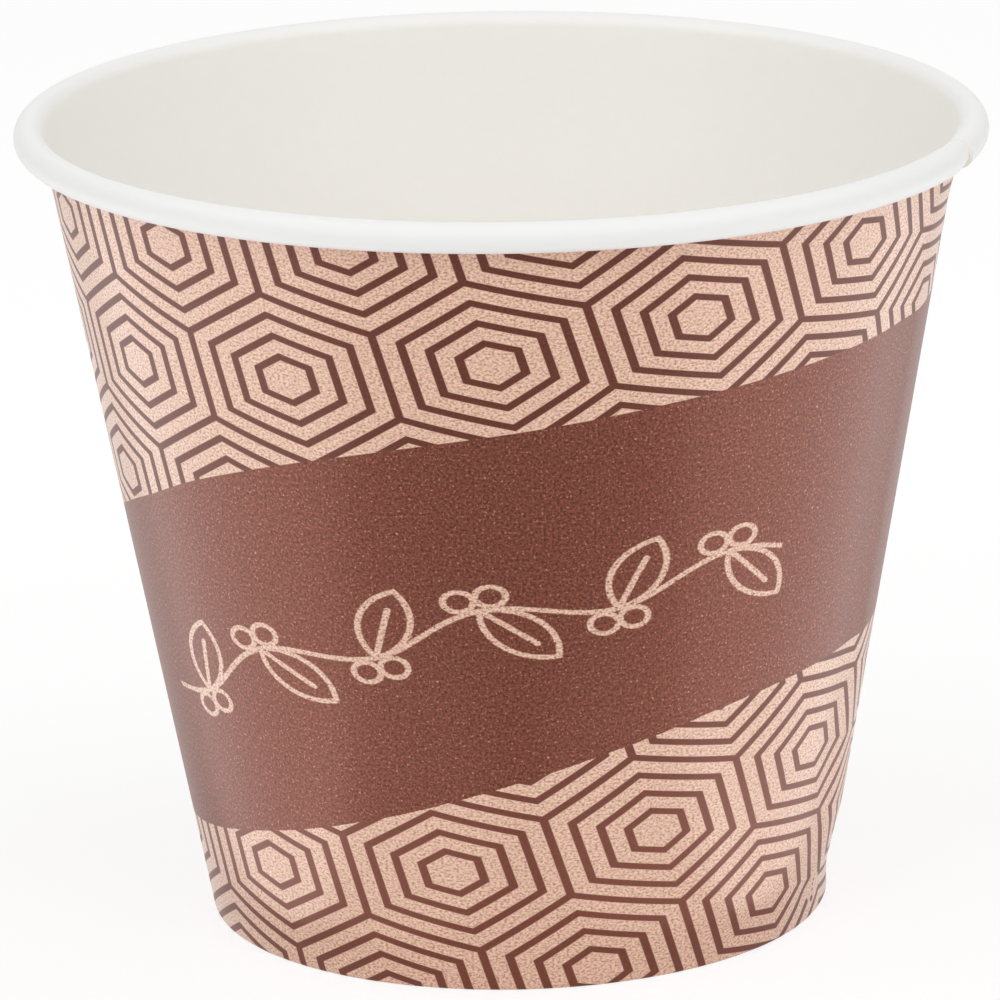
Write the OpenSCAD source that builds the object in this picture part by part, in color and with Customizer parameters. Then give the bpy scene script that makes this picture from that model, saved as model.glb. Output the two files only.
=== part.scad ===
// Paper cup. One board blank makes the tapering wall, the curled rim, the lapped side seam and
// the folded foot. A punched bottom has a skirt turned down into the fold of the foot.

/* [Cup] */
// height from the foot to the top of the rolled rim
height = 67.3; // [58:0.1:85]
// diameter over the rolled rim
rim_d = 80; // [74:0.1:92]
// diameter over the foot, where the wall would meet the table
foot_d = 51.8; // [46:0.1:58]
// thickness of the wall board
board_t = 0.3; // [0.24:0.01:0.36]

/* [Rolled rim] */
// diameter of the roll
roll_d = 2.55; // [2.3:0.05:3.2]
// air between the turns of the roll
roll_gap = 0.06; // [0.04:0.01:0.1]
// turn that the board's end makes inside the roll
roll_tuck = 110; // [70:5:150]

/* [Side seam] */
// direction of the inner cut edge, seen from above
seam_at = -19; // [-60:1:60]
// angle over which the two ends of the board overlap
seam_lap = 12; // [8:0.5:16]
// angle over which the outer end climbs onto the inner one
seam_rise = 8; // [6:0.5:12]
// step at which the outer end leaves the round of the wall
seam_step = 0.03; // [0.02:0.01:0.05]

/* [Foot] */
// length of the board folded up inside the foot
hem_l = 5.6; // [4.5:0.1:6]
// play on each face of the skirt inside the fold
seal_gap = 0.05; // [0.03:0.01:0.1]
// depth to which the fold is pressed flat underneath
fold_press = 0.1; // [0.05:0.01:0.15]

/* [Bottom] */
// height of the bottom's underside above the foot
bottom_rise = 7.2; // [7.2:0.1:10]
// thickness of the bottom board
bottom_t = 0.3; // [0.24:0.01:0.36]
// inside radius of the bend between bottom and skirt
bend_r = 0.8; // [0.5:0.1:1]
// air between the skirt's end and the fold
skirt_gap = 0.3; // [0.2:0.1:0.8]

/* [Hidden] */
$fn = 0;
far = 2 * height;
foot_r = foot_d / 2;
roll_r = roll_d / 2;
roll_pitch = board_t + roll_gap;
roll_x = rim_d / 2 - roll_r;
roll_z = height - roll_r;
// slope of the wall: its outer face starts at the foot and runs into the roll one board inside it
reach = sqrt(pow(roll_x - foot_r, 2) + pow(roll_z, 2));
slope = acos((roll_r - board_t) / reach) - atan2(roll_z, roll_x - foot_r);
// fold of the foot, about a point in the middle of the slot for the skirt
slot = bottom_t + 2 * seal_gap;
fold_r = slot / 2 + board_t;
fold_x = -roll_r - slot / 2;
wall_l = (roll_z - fold_r + fold_press - fold_x * sin(slope)) / cos(slope);
// plain wall that stands on the fold below the climbing stretch
stub_l = 2 * board_t;
// middle of the bend between bottom and skirt
bend_z = bottom_rise - bend_r;
bend_in = board_t + seal_gap + bottom_t + bend_r;
bend_x = foot_r + bend_z * tan(slope) - bend_in / cos(slope);
bend_l = (roll_z - bend_z) / cos(slope) + (roll_r - board_t + bend_in) * tan(slope);
skirt_l = wall_l - bend_l - skirt_gap;

// frame of the wall: x square to the wall and outwards from the middle of the roll, y up the wall
module on_wall()
  translate([roll_x, roll_z])
    rotate(-slope)
      children();

// ring of board, the half of it above its middle
module half_ring(r, t)
  intersection() {
    difference() {
      circle(r);
      circle(r - t);
    }
    translate([-far, 0])
      square([2 * far, far]);
  }

// section of the rolled rim: over the top, back underneath, and the end tucked inside
module roll_section()
  on_wall() {
    half_ring(roll_r, board_t);
    translate([roll_pitch / 2, 0])
      rotate(180)
        half_ring(roll_r - roll_pitch / 2, board_t);
    intersection() {
      half_ring(roll_r - roll_pitch, board_t);
      rotate(180 - roll_tuck)
        translate([-far, 0])
          square([2 * far, far]);
    }
  }

// section of the plain wall, from the fold of the foot to the line where the roll begins
module wall_section()
  on_wall()
    translate([-roll_r, -wall_l])
      square([board_t, wall_l]);

// section of the foot: the board turns in, is pressed flat underneath and stands up as a hem
module foot_section()
  intersection() {
    on_wall()
      translate([fold_x, -wall_l]) {
        rotate(180)
          half_ring(fold_r, board_t);
        translate([-fold_r, 0])
          square([board_t, hem_l]);
      }
    square(far);
  }

// upright slice of space between two angles, counted from where the climb begins
module slice(from, to)
  rotate(seam_at - seam_rise)
    linear_extrude(far)
      polygon([[0, 0], [far, far * tan(from)], [far, far * tan(to)]]);

// space cleared for the climbing stretch, above a stub of wall on the fold and clear of the hem
module climb_space()
  intersection() {
    rotate_extrude()
      on_wall()
        translate([-roll_r - slot / 2, stub_l - wall_l])
          square(far);
    slice(0, seam_rise);
  }

// climbing stretch of the board: the same cone and roll moved sideways, so that they leave the round
// of the cup at one end and stand one board outside it at the other, past the inner cut edge
module climbing_board() {
  push = board_t / sin(seam_rise);
  lean = push * push / foot_d + seam_step;
  intersection() {
    rotate(seam_at - seam_rise)
      translate([lean, push, 0])
        rotate_extrude() {
          wall_section();
          roll_section();
        }
    slice(0, seam_rise);
  }
}

// outer end of the board, lying on the inner end and sealed to it
module lapped_end()
  intersection() {
    rotate_extrude()
      on_wall()
        translate([board_t / 2 - roll_r, -wall_l])
          square([1.5 * board_t, wall_l]);
    slice(seam_rise, seam_rise + seam_lap);
  }

module side_wall()
  color("#cfa892") {
    difference() {
      rotate_extrude() {
        foot_section();
        wall_section();
        roll_section();
      }
      climb_space();
    }
    climbing_board();
    lapped_end();
  }

// section of the bottom: flat panel, bend, and skirt along the wall
module bottom_section() {
  translate([0, bottom_rise])
    square([bend_x, bottom_t]);
  intersection() {
    translate([bend_x, bend_z])
      rotate(-slope)
        half_ring(bend_r + bottom_t, bottom_t);
    translate([bend_x, 0])
      square(far);
  }
  translate([bend_x, bend_z])
    rotate(-slope)
      translate([bend_r, -skirt_l])
        square([bottom_t, skirt_l]);
}

module bottom_disc()
  color("#ece7dd")
    rotate_extrude()
      bottom_section();

side_wall();
bottom_disc();
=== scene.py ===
from math import acos, atan, atan2, cos, degrees, hypot, pi, radians, sin, tan

import bpy
from mathutils import Matrix, Vector


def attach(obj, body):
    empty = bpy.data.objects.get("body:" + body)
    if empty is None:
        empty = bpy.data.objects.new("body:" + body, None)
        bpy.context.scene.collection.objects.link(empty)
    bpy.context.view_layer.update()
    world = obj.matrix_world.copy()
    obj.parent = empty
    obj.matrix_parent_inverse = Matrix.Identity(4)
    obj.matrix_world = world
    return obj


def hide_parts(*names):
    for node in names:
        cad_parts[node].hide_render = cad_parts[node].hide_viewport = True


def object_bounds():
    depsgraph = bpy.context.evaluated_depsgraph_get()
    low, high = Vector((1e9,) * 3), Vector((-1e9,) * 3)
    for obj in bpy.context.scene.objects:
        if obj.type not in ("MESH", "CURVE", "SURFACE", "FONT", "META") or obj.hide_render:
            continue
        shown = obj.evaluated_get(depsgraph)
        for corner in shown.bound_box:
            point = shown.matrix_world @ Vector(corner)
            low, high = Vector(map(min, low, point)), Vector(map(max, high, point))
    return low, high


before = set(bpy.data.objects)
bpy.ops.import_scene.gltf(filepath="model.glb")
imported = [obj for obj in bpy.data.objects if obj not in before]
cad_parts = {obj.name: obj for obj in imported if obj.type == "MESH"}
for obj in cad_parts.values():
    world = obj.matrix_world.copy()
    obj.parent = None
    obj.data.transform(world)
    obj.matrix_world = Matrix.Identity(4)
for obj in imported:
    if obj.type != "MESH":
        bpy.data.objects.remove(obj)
cad_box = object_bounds()

# Wall: one blank of printed paperboard with a white coating inside, rolled into a cone and lapped at
# the side. Its lower end is folded in round the skirt of the bottom, and its upper end is curled
# outwards into the rim.
mm = 0.001
height = round(cad_box[1][2] / mm, 1)
rim_r = 40.0
foot_r = 25.9
board = 0.3
slot = 0.4
foot_press = 0.1
hem = 5.6
roll_r = 1.275
roll_gap = 0.06
roll_tuck = 110
seam_at = -19
climb = 8
lap = 12
roll_x = rim_r - roll_r
roll_z = height - roll_r
slope = acos((roll_r - board) / hypot(roll_x - foot_r, roll_z)) - atan2(roll_z, roll_x - foot_r)
fold_x = -roll_r - slot / 2
fold_r = slot / 2 + board
wall_l = (roll_z - fold_r + foot_press - fold_x * sin(slope)) / cos(slope)
hem_steps = 4
fold_steps = 14
wall_steps = 24
roll_steps = 18
tuck_steps = 10
weld = 0.001 * mm


def on_wall(x, y):
    """Point of the section, from its place across and up the wall, counted from the roll's middle."""
    out = roll_x + x * cos(slope) + y * sin(slope)
    return Vector((out, 0, roll_z - x * sin(slope) + y * cos(slope))) * mm


def start_at(place, name):
    """Adds a new piece that is a single point so far, and goes into edit mode."""
    bpy.ops.object.select_all(action="DESELECT")
    bpy.ops.mesh.primitive_plane_add(size=board * mm, location=place)
    bpy.context.object.name = name
    bpy.ops.object.transform_apply(location=True, rotation=True, scale=True)
    bpy.ops.object.mode_set(mode="EDIT")
    bpy.ops.mesh.select_all(action="SELECT")
    bpy.ops.mesh.merge(type="CENTER")
    return bpy.context.object


def draw_to(point):
    """Carries the section on, in a straight line, from its last point."""
    bpy.context.edit_object.update_from_editmode()
    last = [v.co.copy() for v in bpy.context.edit_object.data.vertices if v.select][0]
    bpy.ops.mesh.extrude_region_move(TRANSFORM_OT_translate={"value": point - last})


def curl(middle, turn, steps):
    """Carries the section on round a point, by an angle in degrees, clockwise as the front shows it."""
    bpy.ops.mesh.spin(steps=steps, angle=radians(-turn), center=middle, axis=(0, 1, 0))


def roll_up(turn, steps):
    """Carries the board on round the cup from its last edge, by an angle in degrees."""
    bpy.ops.mesh.spin(steps=steps, angle=radians(-turn), center=(0, 0, 0), axis=(0, 0, 1))


def pick(thing, chosen):
    """Goes into edit mode with only these vertices selected."""
    bpy.ops.object.mode_set(mode="EDIT")
    bpy.ops.mesh.select_mode(type="VERT")
    bpy.ops.mesh.select_all(action="DESELECT")
    bpy.ops.object.mode_set(mode="OBJECT")
    for v in thing.data.vertices:
        v.select = chosen(v.index)
    bpy.ops.object.mode_set(mode="EDIT")


def keep(thing, name, values):
    """Keeps a value with each point of a piece."""
    thing.data.attributes.new(name, "FLOAT", "POINT").data.foreach_set("value", values)


def kept(thing, name):
    """The values that were kept with the points of a piece."""
    return [point.value for point in thing.data.attributes[name].data]


wall = start_at(on_wall(fold_x - fold_r, hem - wall_l), "printed_wall")
for step in range(1, hem_steps + 1):
    draw_to(on_wall(fold_x - fold_r, hem * (1 - step / hem_steps) - wall_l))
curl(on_wall(fold_x, -wall_l), -180, fold_steps)
for step in range(1, wall_steps + 1):
    draw_to(on_wall(board - roll_r, -wall_l * (1 - step / wall_steps)))
curl(on_wall(0, 0), 180, roll_steps)
curl(on_wall((board + roll_gap) / 2, 0), 180, roll_steps)
curl(on_wall(0, 0), roll_tuck, tuck_steps)
bpy.ops.object.mode_set(mode="OBJECT")

# length along the section, counted up from the line where the wall would meet the table
points = wall.data.vertices
beside = {v.index: [] for v in points}
for line in wall.data.edges:
    beside[line.vertices[0]].append(line.vertices[1])
    beside[line.vertices[1]].append(line.vertices[0])
order = [min((i for i in beside if len(beside[i]) == 1), key=lambda i: points[i].co.z)]
while len(order) < len(points):
    order.append(next(i for i in beside[order[-1]] if i not in order[-2:]))
along = dict.fromkeys(order, 0.0)
for came, here in zip(order, order[1:]):
    along[here] = along[came] + (points[here].co - points[came].co).length / mm
wall_top = order[hem_steps + fold_steps + wall_steps]
foot_line = along[wall_top] - points[wall_top].co.z / mm / cos(slope)
section_l = along[order[-1]]
wall_end = along[wall_top] - foot_line
keep(wall, "along", [along[i] - foot_line for i in range(len(points))])

# the fold is pressed flat where the cup stands, and the section is rolled up into the cup
pick(wall, lambda i: wall.data.vertices[i].co.z < 0)
bpy.ops.transform.resize(value=(1, 1, 0), center_override=(0, 0, 0))
bpy.ops.mesh.select_all(action="SELECT")
bpy.ops.transform.rotate(value=radians(-seam_at), orient_axis="Z", center_override=(0, 0, 0))
rolled = []
for turn, steps in ((360 - climb, (360 - climb) // 2), (climb, 2 * climb), (lap, lap)):
    bpy.ops.object.mode_set(mode="OBJECT")
    rolled.append(len(wall.data.vertices))
    bpy.ops.object.mode_set(mode="EDIT")
    roll_up(turn, steps)
bpy.ops.mesh.select_all(action="SELECT")
bpy.ops.mesh.normals_make_consistent(inside=False)
bpy.ops.object.mode_set(mode="OBJECT")
front_middle = Vector((0, -(foot_r + rim_r) / 2, height / 2)) * mm
if min(wall.data.polygons, key=lambda f: (f.center - front_middle).length).normal.y > 0:
    wall.data.flip_normals()

# angle of every point round the cup from the inner cut edge, past a full turn on the outer end
slack = 0.01
points = wall.data.vertices
up = kept(wall, "along")
turned = []
for v in points:
    turn = (degrees(atan2(v.co.y, v.co.x)) - seam_at + slack) % 360 - slack
    turned.append(turn + 360 if v.index >= rolled[1] and turn < 180 else turn)
keep(wall, "turned", turned)


def ease(x, low, high):
    """Smooth step from 0 to 1 between two values."""
    x = min(1, max(0, (x - low) / (high - low)))
    return x * x * (3 - 2 * x)


# the outer end climbs by one board onto the inner end; in the roll it dips under the inner end's roll
dip = 0.12
lap_play = 0.01
over = wall.vertex_groups.new(name="over_the_lap")
for i in range(len(points)):
    on_roll = ease(up[i], wall_end, wall_end + 1)
    on_side = dip + (1 - dip) * ease(up[i], wall_end + 1.2, wall_end + 2.8)
    of_wall = ease(turned[i], 360 - climb, 360) * ease(up[i], 0.4, 3)
    of_roll = max(on_side * ease(turned[i], 355, 360.2), ease(turned[i], 360, 361.4))
    over.add([i], of_wall * (1 - on_roll) + of_roll * on_roll, "REPLACE")
lift = wall.modifiers.new("climb_of_the_outer_end", "DISPLACE")
lift.direction = "NORMAL"
lift.strength = (board + lap_play) * mm
lift.mid_level = 0
lift.vertex_group = over.name
bpy.ops.object.modifier_apply(modifier=lift.name)

# below the wall the outer end is trimmed off at the fold, and the fold closes on itself
trim = 0.25
near = 0.1
pick(wall, lambda i: turned[i] > 360 + near and up[i] < trim)
bpy.ops.mesh.delete(type="VERT")
bpy.ops.object.mode_set(mode="OBJECT")
up = kept(wall, "along")
turned = kept(wall, "turned")
pick(wall, lambda i: up[i] < trim and abs(turned[i] - 180) > 180 - near)
bpy.ops.mesh.remove_doubles(threshold=weld)
bpy.ops.object.mode_set(mode="OBJECT")

# the board gets its thickness, with the coating on its inside and bare paper on its cut edges
outer_points = len(wall.data.vertices)
for name in ("printed_board", "coated_board", "cut_edge_of_board"):
    wall.data.materials.append(bpy.data.materials.new(name))


def thicken(piece, thickness):
    """Gives a sheet the thickness of its board, inwards."""
    thick = piece.modifiers.new("board_thickness", "SOLIDIFY")
    thick.thickness = thickness * mm
    thick.offset = -1
    thick.use_even_offset = True
    thick.use_quality_normals = True
    thick.material_offset = 1
    thick.material_offset_rim = 2
    bpy.ops.object.modifier_apply(modifier=thick.name)
    bpy.ops.object.shade_smooth_by_angle(angle=radians(40))


thicken(wall, board)

# each corner of a face has its place on the flat blank, round and up the wall, and on the map of the
# board: the print above, the coating below it, the cut edges at the foot of the map
squeeze = 1.39
cone = atan(tan(slope) / squeeze)
all_round = 400
to_front = 0.75
up = kept(wall, "along")
turned = kept(wall, "turned")
strips = ((0.3, 0.69), (0.03, 0.25), (0.002, 0.02))
margin = 0.004
chart = wall.data.uv_layers.new(name="OFBake").data
flat = []
placed = []
for face in wall.data.polygons:
    low, tall = strips[face.material_index]
    furthest = max(turned[i] for i in face.vertices)
    for loop in face.loop_indices:
        i = wall.data.loops[loop].vertex_index
        turn = turned[i] + (360 if furthest - turned[i] > 180 else 0)
        az = turn + seam_at - 270
        out = (foot_r + up[i] * sin(slope)) / sin(cone)
        fan = radians(az) * sin(cone)
        flat += [out * sin(fan), out * cos(fan) - foot_r / sin(cone), 0]
        placed += [az / all_round + to_front, up[i] * cos(slope), 0]
        across = turn / (360 + lap)
        rise = (up[i] + foot_line) / section_l
        if face.material_index == 2:
            across = (across + rise) / 2
            rise = 0 if i < outer_points else 1
        chart[loop].uv = (margin + (1 - 2 * margin) * across, low + tall * rise)
wall.data.attributes.new("flat_blank", "FLOAT_VECTOR", "CORNER").data.foreach_set("vector", flat)
wall.data.attributes.new("round_and_up", "FLOAT_VECTOR", "CORNER").data.foreach_set("vector", placed)

# the wall is a little flat where its ends lap and make it stiff, and is pinched there above the foot
flat_az = 87
flat_by = 0.84
pinch = 1.1


def press_at_the_lap(piece):
    """Presses a piece in where the ends of the wall lap, by height, angle and distance from the axis."""
    bpy.context.view_layer.objects.active = piece
    pressed = piece.vertex_groups.new(name="at_the_lap")
    for v in piece.data.vertices:
        x, y, z = v.co / mm
        aside = abs(degrees(atan2(x, -y)) - flat_az)
        flattened = ease(z, 0, 3) * (1 - ease(z, 61.5, 65)) * (1 - ease(aside, 3, 30))
        pinched = ease(z, -1.5, 3.6) * (1 - ease(z, 4.2, 7.5)) * (1 - ease(aside, 15, 38))
        near_wall = ease(hypot(x, y), 20, 24)
        pressed.add([v.index], near_wall * (flattened + pinch * pinched) / (1 + pinch), "REPLACE")
    press = piece.modifiers.new("press_at_the_lap", "DISPLACE")
    press.direction = "X"
    press.strength = -flat_by * mm
    press.mid_level = 0
    press.vertex_group = pressed.name
    bpy.ops.object.modifier_apply(modifier=press.name)


press_at_the_lap(wall)

# the rim stands a little lower on the right and in front, as on a cup that has been handled
lean_right = 0.0138
lean_back = 0.0094
lean_w = 84
bpy.ops.object.add(type="LATTICE", location=(0, 0, height / 2 * mm))
lean = bpy.context.object
lean.scale = (lean_w * mm, lean_w * mm, height * mm)
for axis in "uvw":
    setattr(lean.data, "points_" + axis, 2)
    setattr(lean.data, "interpolation_type_" + axis, "KEY_LINEAR")
for p in lean.data.points:
    if p.co.z > 0:
        p.co_deform.z += (lean_back * p.co.y - lean_right * p.co.x) * lean_w / height


def stand_with_the_lean(piece):
    """Gives a piece the lean of the cup's rim."""
    bpy.context.view_layer.objects.active = piece
    follow = piece.modifiers.new("lean", "LATTICE")
    follow.object = lean
    bpy.ops.object.modifier_apply(modifier=follow.name)


stand_with_the_lean(wall)


def put(tree, kind, inputs, **settings):
    """Adds a node to a finish; an input is a value or another node's output."""
    new = tree.nodes.new("ShaderNode" + kind)
    for name, value in settings.items():
        setattr(new, name, value)
    for name, value in inputs.items():
        if isinstance(value, bpy.types.NodeSocket):
            tree.links.new(value, new.inputs[name])
        else:
            new.inputs[name].default_value = value
    return new


def paint(red, green, blue):
    """A colour from its red, green and blue on a screen."""
    return tuple(((c / 255 + 0.055) / 1.055) ** 2.4 for c in (red, green, blue)) + (1,)


def blend(tree, share, first, second):
    """Two colours mixed."""
    return put(tree, "Mix", {0: share, 6: first, 7: second}, data_type="RGBA").outputs[2]


# print: nested hexagons in a brown ink with a little mica, on a pale speckled ground
finish = wall.data.materials[0]
finish.use_nodes = True
ink = finish.node_tree


def reckon(operation, *terms):
    """Sum, product or the like of numbers."""
    return put(ink, "Math", dict(enumerate(terms)), operation=operation).outputs[0]


def reckon_places(operation, *terms):
    """Sum, product or the like of places."""
    new = put(ink, "VectorMath", dict(enumerate(terms)), operation=operation)
    return new.outputs["Value" if operation in ("DOT_PRODUCT", "LENGTH", "DISTANCE") else "Vector"]


def apart(place):
    """The first and second coordinate of a place."""
    return put(ink, "SeparateXYZ", {0: place}).outputs[:2]


def step_to(value, low, high):
    """0 at the low value, 1 at the high one, smooth between them."""
    inputs = {"Value": value, "From Min": low, "From Max": high}
    return put(ink, "MapRange", inputs, interpolation_type="SMOOTHSTEP").outputs[0]


def least(values):
    """The least of several numbers."""
    lowest = values[0]
    for value in values[1:]:
        lowest = reckon("MINIMUM", lowest, value)
    return lowest


def grain(scale, detail, place=(0, 0, 0), narrow=1):
    """Noise on the flat blank, so many grains to a millimetre, narrower round the cup if wanted."""
    moved = reckon_places("MULTIPLY_ADD", blank, (narrow, 1, 1), place)
    inputs = {"Vector": moved, "Scale": scale, "Detail": detail, "Roughness": 0.6}
    return put(ink, "TexNoise", inputs).outputs["Fac"]


blank = put(ink, "Attribute", {}, attribute_name="flat_blank").outputs["Vector"]
round_at, up_at = apart(put(ink, "Attribute", {}, attribute_name="round_and_up").outputs["Vector"])
rag = 0.16
ragged = reckon("MULTIPLY_ADD", grain(4, 2), rag, -rag / 2)

pitch = 17.327
first_cell = (-1.222, 77.225, 0)
turned_rows = 0.212
ring_step = 0.1214
inner_ring = 3
half_line = 0.367
line_soft = 0.05
row = 3 ** 0.5 / 2
inputs = {"Vector": blank, "Location": first_cell, "Rotation": (0, 0, turned_rows)}
inputs["Scale"] = (pitch, pitch, 1)
cell = put(ink, "Mapping", inputs, vector_type="TEXTURE").outputs[0]
from_middle = []
for shift in ((0, 0, 0), (0.5, row, 0)):
    wrapped = reckon_places("WRAP", reckon_places("ADD", cell, shift), (0.5, row, 1), (-0.5, -row, -1))
    part = reckon_places("ABSOLUTE", wrapped)
    sideways = apart(part)[0]
    slanting = reckon_places("DOT_PRODUCT", part, (0.5, row, 0))
    from_middle.append(reckon("MAXIMUM", sideways, slanting))
ring = reckon("DIVIDE", reckon("SUBTRACT", 0.5, least(from_middle)), ring_step)
nearest = reckon("MINIMUM", reckon("ROUND", ring), inner_ring)
off_line = reckon("MULTIPLY", reckon("ABSOLUTE", reckon("SUBTRACT", ring, nearest)), ring_step * pitch)
lines = step_to(reckon("ADD", off_line, ragged), half_line + line_soft, half_line - line_soft)

# band: a field of the brown ink that slants round the cup; each of its edges runs through points that
# are given by their angle and height
lower_edge = ((-289, 25.4), (-230, 20.8), (-180, 13.7), (-130, 8.8), (-100, 8.35), (-75, 9.3),
              (-50, 11.6), (-25, 14.8), (0, 18.75), (20, 21.8), (40, 24.05), (83, 25.6))
upper_edge = ((-289, 53.2), (-230, 48.2), (-180, 39.9), (-135, 34.2), (-108, 33.3), (-88, 35),
              (-66, 38.75), (-45, 43.2), (-22, 46.9), (5, 49.7), (40, 52.1), (83, 53.3))
band_soft = 0.04
edges = []
for edge in (lower_edge, upper_edge):
    curve = put(ink, "FloatCurve", {"Value": round_at})
    run = curve.mapping.curves[0].points
    for angle, rise in edge[1:-1]:
        run.new(angle / all_round + to_front, rise / height)
    for end in (0, -1):
        run[end].location = (edge[end][0] / all_round + to_front, edge[end][1] / height)
    curve.mapping.update()
    edges.append(reckon("MULTIPLY", curve.outputs[0], height))
rough_up = reckon("ADD", up_at, ragged)
above = step_to(reckon("SUBTRACT", rough_up, edges[0]), -band_soft, band_soft)
below = step_to(reckon("SUBTRACT", edges[1], rough_up), -band_soft, band_soft)
in_band = reckon("MULTIPLY", above, below)

# sprig: left bare in the band as by a chalk stroke, a winding stem with leaves and pairs of berries
band_middle = (26.6, -47.0, 0)
sprig_r = 97.5
sprig_at_front = -0.355
sprig_reach = 31.5
sprig_pitch = 21.0
stem_wave = 1.6
stem_slope = 0.92
leaf_l = 8.5
leaf_w = 4.3
leaf_lean = 58
berry_r = 1.2
half_stroke = 0.27
stroke_soft = 0.08
end_soft = 0.1
from_band_middle = reckon_places("SUBTRACT", blank, band_middle)
sprig_angle = reckon("SUBTRACT", reckon("ARCTAN2", *apart(from_band_middle)), sprig_at_front)
sprig_along = reckon("MULTIPLY", sprig_angle, sprig_r)
sprig_up = reckon("SUBTRACT", reckon_places("LENGTH", from_band_middle), sprig_r)
sprig_x = reckon("WRAP", sprig_along, sprig_pitch / 2, -sprig_pitch / 2)
sprig = put(ink, "CombineXYZ", {0: sprig_x, 1: sprig_up}).outputs[0]
waves = reckon("SINE", reckon("MULTIPLY", sprig_along, 2 * pi / sprig_pitch))
stem = reckon("MULTIPLY", waves, stem_wave)
strokes = [reckon("MULTIPLY", reckon("ABSOLUTE", reckon("SUBTRACT", sprig_up, stem)), stem_slope)]


def leaf(x, y, lean_to):
    """Distance to the outline or the vein of a leaf, from its foot and the angle at which it stands."""
    inputs = {"Vector": sprig, "Location": (x, y, 0), "Rotation": (0, 0, radians(lean_to))}
    out, aside = apart(put(ink, "Mapping", inputs, vector_type="TEXTURE").outputs[0])
    aside = reckon("ABSOLUTE", aside)
    bow = (leaf_l ** 2 + leaf_w ** 2) / (4 * leaf_w)
    from_half = reckon("SUBTRACT", out, leaf_l / 2)
    from_bow = reckon("ADD", aside, bow - leaf_w / 2)
    bowed = put(ink, "CombineXYZ", {0: from_half, 1: from_bow}).outputs[0]
    outline = reckon("ABSOLUTE", reckon("SUBTRACT", reckon_places("LENGTH", bowed), bow))
    half_vein = 0.36 * leaf_l
    past_vein = reckon("SUBTRACT", reckon("ABSOLUTE", reckon("SUBTRACT", out, half_vein)), half_vein)
    vein = put(ink, "CombineXYZ", {0: reckon("MAXIMUM", past_vein, 0), 1: aside}).outputs[0]
    return reckon("MINIMUM", outline, reckon_places("LENGTH", vein))


strokes.append(leaf(-5, -1.6, leaf_lean))
strokes.append(leaf(5.3, 1.6, -leaf_lean))
for x, y in ((4.0, 3.1), (6.6, 3.05), (-6.6, -3.05), (-4.0, -3.1)):
    from_berry = reckon_places("DISTANCE", sprig, (x, y, 0))
    strokes.append(reckon("ABSOLUTE", reckon("SUBTRACT", from_berry, berry_r)))
chalk_edge = reckon("ADD", least(strokes), ragged)
on_sprig = step_to(reckon("ABSOLUTE", sprig_along), sprig_reach + end_soft, sprig_reach - end_soft)
in_stroke = step_to(chalk_edge, half_stroke + stroke_soft, half_stroke - stroke_soft)
chalk = reckon("MULTIPLY", in_stroke, on_sprig)
chalk = reckon("MULTIPLY", chalk, step_to(grain(3, 2, (5, 9, 0)), 0.3, 0.42))

# register marks of the printer: three dots and a larger one near the foot, beside the lapped end of the
# blank, where the lines keep clear of them
marks_az = 68.2
marks_middle = 2.8
wall_r_at_marks = foot_r + 0.7
mark_soft = 0.03
clear_r = 1.3
marks = []
mm_all_round = radians(all_round) * wall_r_at_marks
aside = reckon("MULTIPLY", reckon("SUBTRACT", round_at, marks_az / all_round + to_front), mm_all_round)
mark_at = put(ink, "CombineXYZ", {0: aside, 1: up_at}).outputs[0]
for rise, dot_r in ((3.5, 0.13), (3.05, 0.13), (2.6, 0.13), (1.75, 0.3)):
    marks.append(reckon("SUBTRACT", reckon_places("DISTANCE", mark_at, (0, rise, 0)), dot_r))
dots = step_to(least(marks), mark_soft, -mark_soft)
beside_marks = reckon_places("DISTANCE", mark_at, (0, marks_middle, 0))
lines = reckon("MULTIPLY", lines, step_to(beside_marks, clear_r - end_soft, clear_r + end_soft))

# colours of the print: the ink is a little thinner on the fibres; the lines near the foot get painted
# light
pale_ground = paint(250, 206, 187)
pale_cloud = paint(244, 208, 178)
pale_speck = paint(178, 124, 101)
brown_ink = paint(80, 31, 15)
brown_thin = paint(138, 74, 53)
brown_bare = paint(206, 142, 124)
line_ink = paint(94, 41, 25)
line_painted_light = paint(120, 64, 48)
painted_light_from = 30
painted_light_full = 10
line_mottle = 0.3
cloudy = blend(ink, step_to(grain(1.3, 2, (7, 3, 0)), 0.38, 0.62), pale_ground, pale_cloud)
pale = blend(ink, step_to(grain(4, 1), 0.32, 0.8), cloudy, pale_speck)
mottled = blend(ink, step_to(grain(3, 2, (3, 8, 0), 1.5), 0.3, 0.74), brown_ink, brown_thin)
brown = blend(ink, step_to(grain(3.2, 1, (9, 2, 0), 1.4), 0.58, 0.84), mottled, brown_bare)
# painted light from the floor below: the lines go from their ink to a lighter brown towards the foot
line_ink_and_painted_light = blend(ink, step_to(up_at, painted_light_from, painted_light_full), line_ink, line_painted_light)
dark = blend(ink, in_band, blend(ink, line_mottle, line_ink_and_painted_light, mottled), brown)
to_band = reckon("SUBTRACT", reckon("SUBTRACT", 1, chalk), lines)
inked = reckon("MAXIMUM", reckon("MULTIPLY_ADD", in_band, to_band, lines), dots)

# the print ends inside the fold of the foot, and the hem is bare board
bare_light = paint(246, 241, 231)
bare_shade = paint(232, 224, 208)
print_end = -2.2
bare = blend(ink, grain(2.4, 3, (2, 6, 0)), bare_light, bare_shade)
printed = step_to(up_at, print_end - end_soft, print_end + end_soft)
inked = reckon("MULTIPLY", inked, printed)
ground = blend(ink, printed, bare, pale)
shader = ink.nodes["Principled BSDF"]
ink.links.new(blend(ink, inked, ground, dark), shader.inputs["Base Color"])

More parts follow.
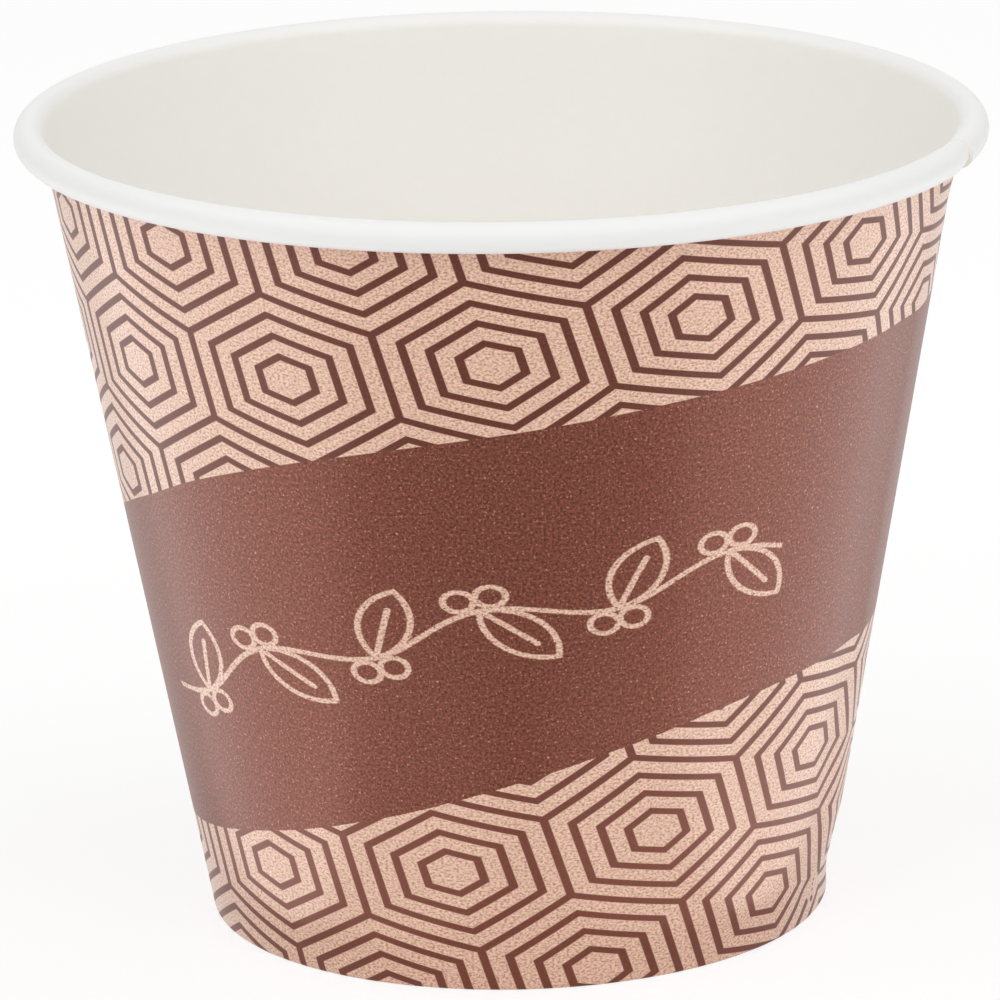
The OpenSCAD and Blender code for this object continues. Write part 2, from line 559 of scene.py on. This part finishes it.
# the ink has a little mica, more of it in the band, and takes up the varnish that shines on the ground
line_mica = 0.12
band_mica = 0.32
ground_varnish = 0.6
line_varnish = 0.08
band_varnish = 0.18
fibre_rise = 0.02 * mm
mica = reckon("MULTIPLY_ADD", in_band, band_mica - line_mica, line_mica)
ink.links.new(reckon("MULTIPLY", inked, mica), shader.inputs["Metallic"])
shader.inputs["Roughness"].default_value = 0.45
shader.inputs["Specular IOR Level"].default_value = 0.25
taken_up = reckon("MULTIPLY_ADD", in_band, band_varnish - line_varnish, line_varnish - ground_varnish)
varnish = reckon("MULTIPLY_ADD", inked, taken_up, ground_varnish)
ink.links.new(varnish, shader.inputs["Coat Weight"])
shader.inputs["Coat Roughness"].default_value = 0.25
shader.inputs["Sheen Weight"].default_value = 0.08
shader.inputs["Sheen Roughness"].default_value = 0.4
fibres = put(ink, "Bump", {"Height": grain(2.2, 4), "Strength": 0.12, "Distance": fibre_rise}).outputs[0]
ink.links.new(fibres, shader.inputs["Normal"])


def fibrous(material, light, shade, grains, roughness, gloss, bump):
    """Plain board: two tones mixed by its fibres, which also stand up a little."""
    material.use_nodes = True
    tree = material.node_tree
    at = tree.nodes.new("ShaderNodeTexCoord").outputs["Object"]
    fibre = put(tree, "TexNoise", {"Vector": at, "Scale": grains / mm, "Detail": 4}).outputs["Fac"]
    surface = tree.nodes["Principled BSDF"]
    tree.links.new(blend(tree, fibre, light, shade), surface.inputs["Base Color"])
    raised = put(tree, "Bump", {"Height": fibre, "Strength": bump, "Distance": fibre_rise}).outputs[0]
    tree.links.new(raised, surface.inputs["Normal"])
    surface.inputs["Roughness"].default_value = roughness
    surface.inputs["Specular IOR Level"].default_value = gloss


coat = wall.data.materials[1]
bare_edge = wall.data.materials[2]
coat_light = paint(253, 251, 247)
coat_shade = paint(250, 248, 243)
edge_light = paint(252, 249, 240)
edge_shade = paint(242, 234, 218)
fibrous(coat, coat_light, coat_shade, grains=0.9, roughness=0.45, gloss=0.3, bump=0.1)
fibrous(bare_edge, edge_light, edge_shade, grains=6, roughness=0.85, gloss=0.2, bump=0.4)

# painted shade on the roll: the coating there is painted a cooler and a little less bright white than
# inside
rim_painted_shade = paint(246, 246, 245)
painted_shade_from = (roll_x - roll_r + 0.1) * mm
painted_shade_to = (roll_x - roll_r / 2) * mm
inside = coat.node_tree
at = inside.nodes.new("ShaderNodeTexCoord").outputs["Object"]
level = put(inside, "VectorMath", {0: at, 1: (1, 1, 0)}, operation="MULTIPLY").outputs[0]
from_axis = put(inside, "VectorMath", {0: level}, operation="LENGTH").outputs["Value"]
ends = {"Value": from_axis, "From Min": painted_shade_from, "From Max": painted_shade_to}
painted_shade_on_rim = put(inside, "MapRange", ends, interpolation_type="SMOOTHSTEP").outputs[0]
surface = inside.nodes["Principled BSDF"]
cream = surface.inputs["Base Color"].links[0].from_socket
# the coating's own white turns to the painted shade's white across the roll
inside.links.new(blend(inside, painted_shade_on_rim, cream, rim_painted_shade), surface.inputs["Base Color"])

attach(wall, "root")
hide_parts("side_wall")

# Bottom: a round punched from white coated board, with its edge turned down as a skirt that stands in
# the fold of the wall and is sealed there.
bottom_rise = 7.2
bottom_t = 0.3
bend_r = 0.8
skirt_gap = 0.3
seal = 0.05
flat_steps = 8
bend_steps = 10
skirt_steps = 3
round_steps = 180
bend_z = bottom_rise - bend_r
bend_in = board + seal + bottom_t + bend_r
bend_x = foot_r + bend_z * tan(slope) - bend_in / cos(slope)
bend_l = (roll_z - bend_z) / cos(slope) + (roll_r - board + bend_in) * tan(slope)
skirt_l = wall_l - bend_l - skirt_gap
top = bottom_rise + bottom_t
bottom = start_at(Vector((0, 0, top)) * mm, "bottom_round")
for step in range(1, flat_steps + 1):
    draw_to(Vector((bend_x * step / flat_steps, 0, top)) * mm)
curl(Vector((bend_x, 0, bend_z)) * mm, 90 + degrees(slope), bend_steps)
down_skirt = Vector((-sin(slope), 0, -cos(slope))) * (skirt_l / skirt_steps * mm)
for step in range(skirt_steps):
    bpy.ops.mesh.extrude_region_move(TRANSFORM_OT_translate={"value": down_skirt})
bpy.ops.mesh.select_all(action="SELECT")
roll_up(360, round_steps)
bpy.ops.mesh.select_all(action="SELECT")
bpy.ops.mesh.remove_doubles(threshold=weld)
bpy.ops.mesh.normals_make_consistent(inside=False)
bpy.ops.object.mode_set(mode="OBJECT")
if min(bottom.data.polygons, key=lambda f: hypot(f.center.x, f.center.y)).normal.z < 0:
    bottom.data.flip_normals()
for material in (coat, coat, bare_edge):
    bottom.data.materials.append(material)
thicken(bottom, bottom_t)
press_at_the_lap(bottom)
stand_with_the_lean(bottom)
bpy.data.objects.remove(lean)
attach(bottom, "root")
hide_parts("bottom_disc")

# Studio: a white floor that keeps the cup's shadow, two soft boxes in front, two high at the sides, and
# the camera. The floor and the sky show white to the camera and in gloss. Panels and small discs lie on
# the floor, show only in gloss, and brighten it at the sides and at the foot.
floor_w = 8
floor_white = 0.92
floor_bounce = 0.05
floor_glow = 0.76
shadow_white = 0.3
sky_light = 0.475
bpy.ops.object.select_all(action="DESELECT")
bpy.ops.mesh.primitive_plane_add(size=floor_w)
floor = bpy.context.object
floor.name = "floor"
white = bpy.data.materials.new("white_floor")
white.use_nodes = True
floor.data.materials.append(white)
lay = white.node_tree
lay.nodes.clear()


def seen(tree):
    """1 for what the camera sees, straight or in gloss or through glass."""
    path = tree.nodes.new("ShaderNodeLightPath").outputs
    either = put(tree, "Math", {0: path["Is Camera Ray"], 1: path["Is Glossy Ray"]}, operation="MAXIMUM")
    both = {0: either.outputs[0], 1: path["Is Transmission Ray"]}
    return put(tree, "Math", both, operation="MAXIMUM").outputs[0]


def grey(level):
    """A grey from its brightness."""
    return (level, level, level, 1)


bounce = put(lay, "Emission", {"Strength": floor_bounce}).outputs[0]
plain = put(lay, "BsdfDiffuse", {"Color": grey(floor_white)}).outputs[0]
plain = put(lay, "AddShader", {0: bounce, 1: plain}).outputs[0]
glow = put(lay, "Emission", {"Strength": floor_glow}).outputs[0]
shade = put(lay, "BsdfDiffuse", {"Color": grey(shadow_white)}).outputs[0]
shadowed = put(lay, "AddShader", {0: glow, 1: shade}).outputs[0]
surface = put(lay, "MixShader", {0: seen(lay), 1: plain, 2: shadowed}).outputs[0]
lay.links.new(surface, lay.nodes.new("ShaderNodeOutputMaterial").inputs["Surface"])

sky = bpy.data.worlds.new("studio")
bpy.context.scene.world = sky
sky.use_nodes = True
levels = {"Value": seen(sky.node_tree), "To Min": sky_light, "To Max": 1.0}
light = put(sky.node_tree, "MapRange", levels).outputs[0]
background = sky.node_tree.nodes["Background"]
sky.node_tree.links.new(light, background.inputs["Strength"])
background.inputs["Color"].default_value = grey(1)

boxes = (("soft_box_", radians(36), radians(35)), ("high_box_", radians(90), radians(60)))
box_far = 0.8
box_w = 0.5
box_energy = 1.0
panel_az = radians(43)
panel_near = 0.028
panel_w = 0.28
panel_energy = 0.4
panel_lift = 0.003
foot_panel_az = radians(30)
foot_panel_far = 0.05
foot_panel_d = 0.044
foot_panel_energy = 0.0036
for name, side in (("left", -1), ("right", 1)):
    for what, az, el in boxes:
        to_box = Vector((side * sin(az) * cos(el), -cos(az) * cos(el), sin(el)))
        aim = (-to_box).to_track_quat("-Z", "Y").to_euler()
        bpy.ops.object.light_add(type="AREA", location=to_box * box_far, rotation=aim)
        soft_box = bpy.context.object
        soft_box.name = what + name
        soft_box.data.size = box_w
        soft_box.data.energy = box_energy
    out = panel_near + panel_w / 2
    panel_x = side * (out * sin(panel_az) + panel_w / 2 * cos(panel_az))
    panel_y = panel_w / 2 * sin(panel_az) - out * cos(panel_az)
    place = (panel_x, panel_y, panel_lift)
    bpy.ops.object.light_add(type="AREA", location=place, rotation=(pi, 0, side * panel_az))
    panel = bpy.context.object
    panel.name = "gloss_panel_" + name
    panel.data.size = panel_w
    panel.data.energy = panel_energy
    foot_panel_x = side * foot_panel_far * sin(foot_panel_az)
    place = (foot_panel_x, -foot_panel_far * cos(foot_panel_az), panel_lift)
    bpy.ops.object.light_add(type="AREA", location=place, rotation=(pi, 0, 0))
    foot_panel = bpy.context.object
    foot_panel.name = "foot_panel_" + name
    foot_panel.data.shape = "DISK"
    foot_panel.data.size = foot_panel_d
    foot_panel.data.energy = foot_panel_energy
    for gloss_only in (panel, foot_panel):
        gloss_only.visible_camera = False
        gloss_only.visible_diffuse = False

# the camera stands in front of the cup and a little above it, turned and placed as for the picture
eye_el = radians(15.522)
eye_roll = radians(-1.528)
eye_far = 583.6 * mm
lens = 252
sensor = 36
picture_w = 1000
aside_px = -11.01
up_px = 4.88
stand = Matrix.Rotation(radians(90) - eye_el, 3, "X") @ Matrix.Rotation(eye_roll, 3, "Z")
per_px = eye_far * sensor / lens / picture_w
target = Vector((0, 0, height / 2 * mm)) + stand @ Vector((aside_px, up_px, 0)) * per_px
bpy.ops.object.camera_add(location=target + stand @ Vector((0, 0, eye_far)), rotation=stand.to_euler())
camera = bpy.context.object
camera.data.lens = lens
camera.data.sensor_width = sensor
camera.data.clip_start = 0.01
bpy.context.scene.camera = camera
bpy.context.scene.view_settings.view_transform = "Standard"
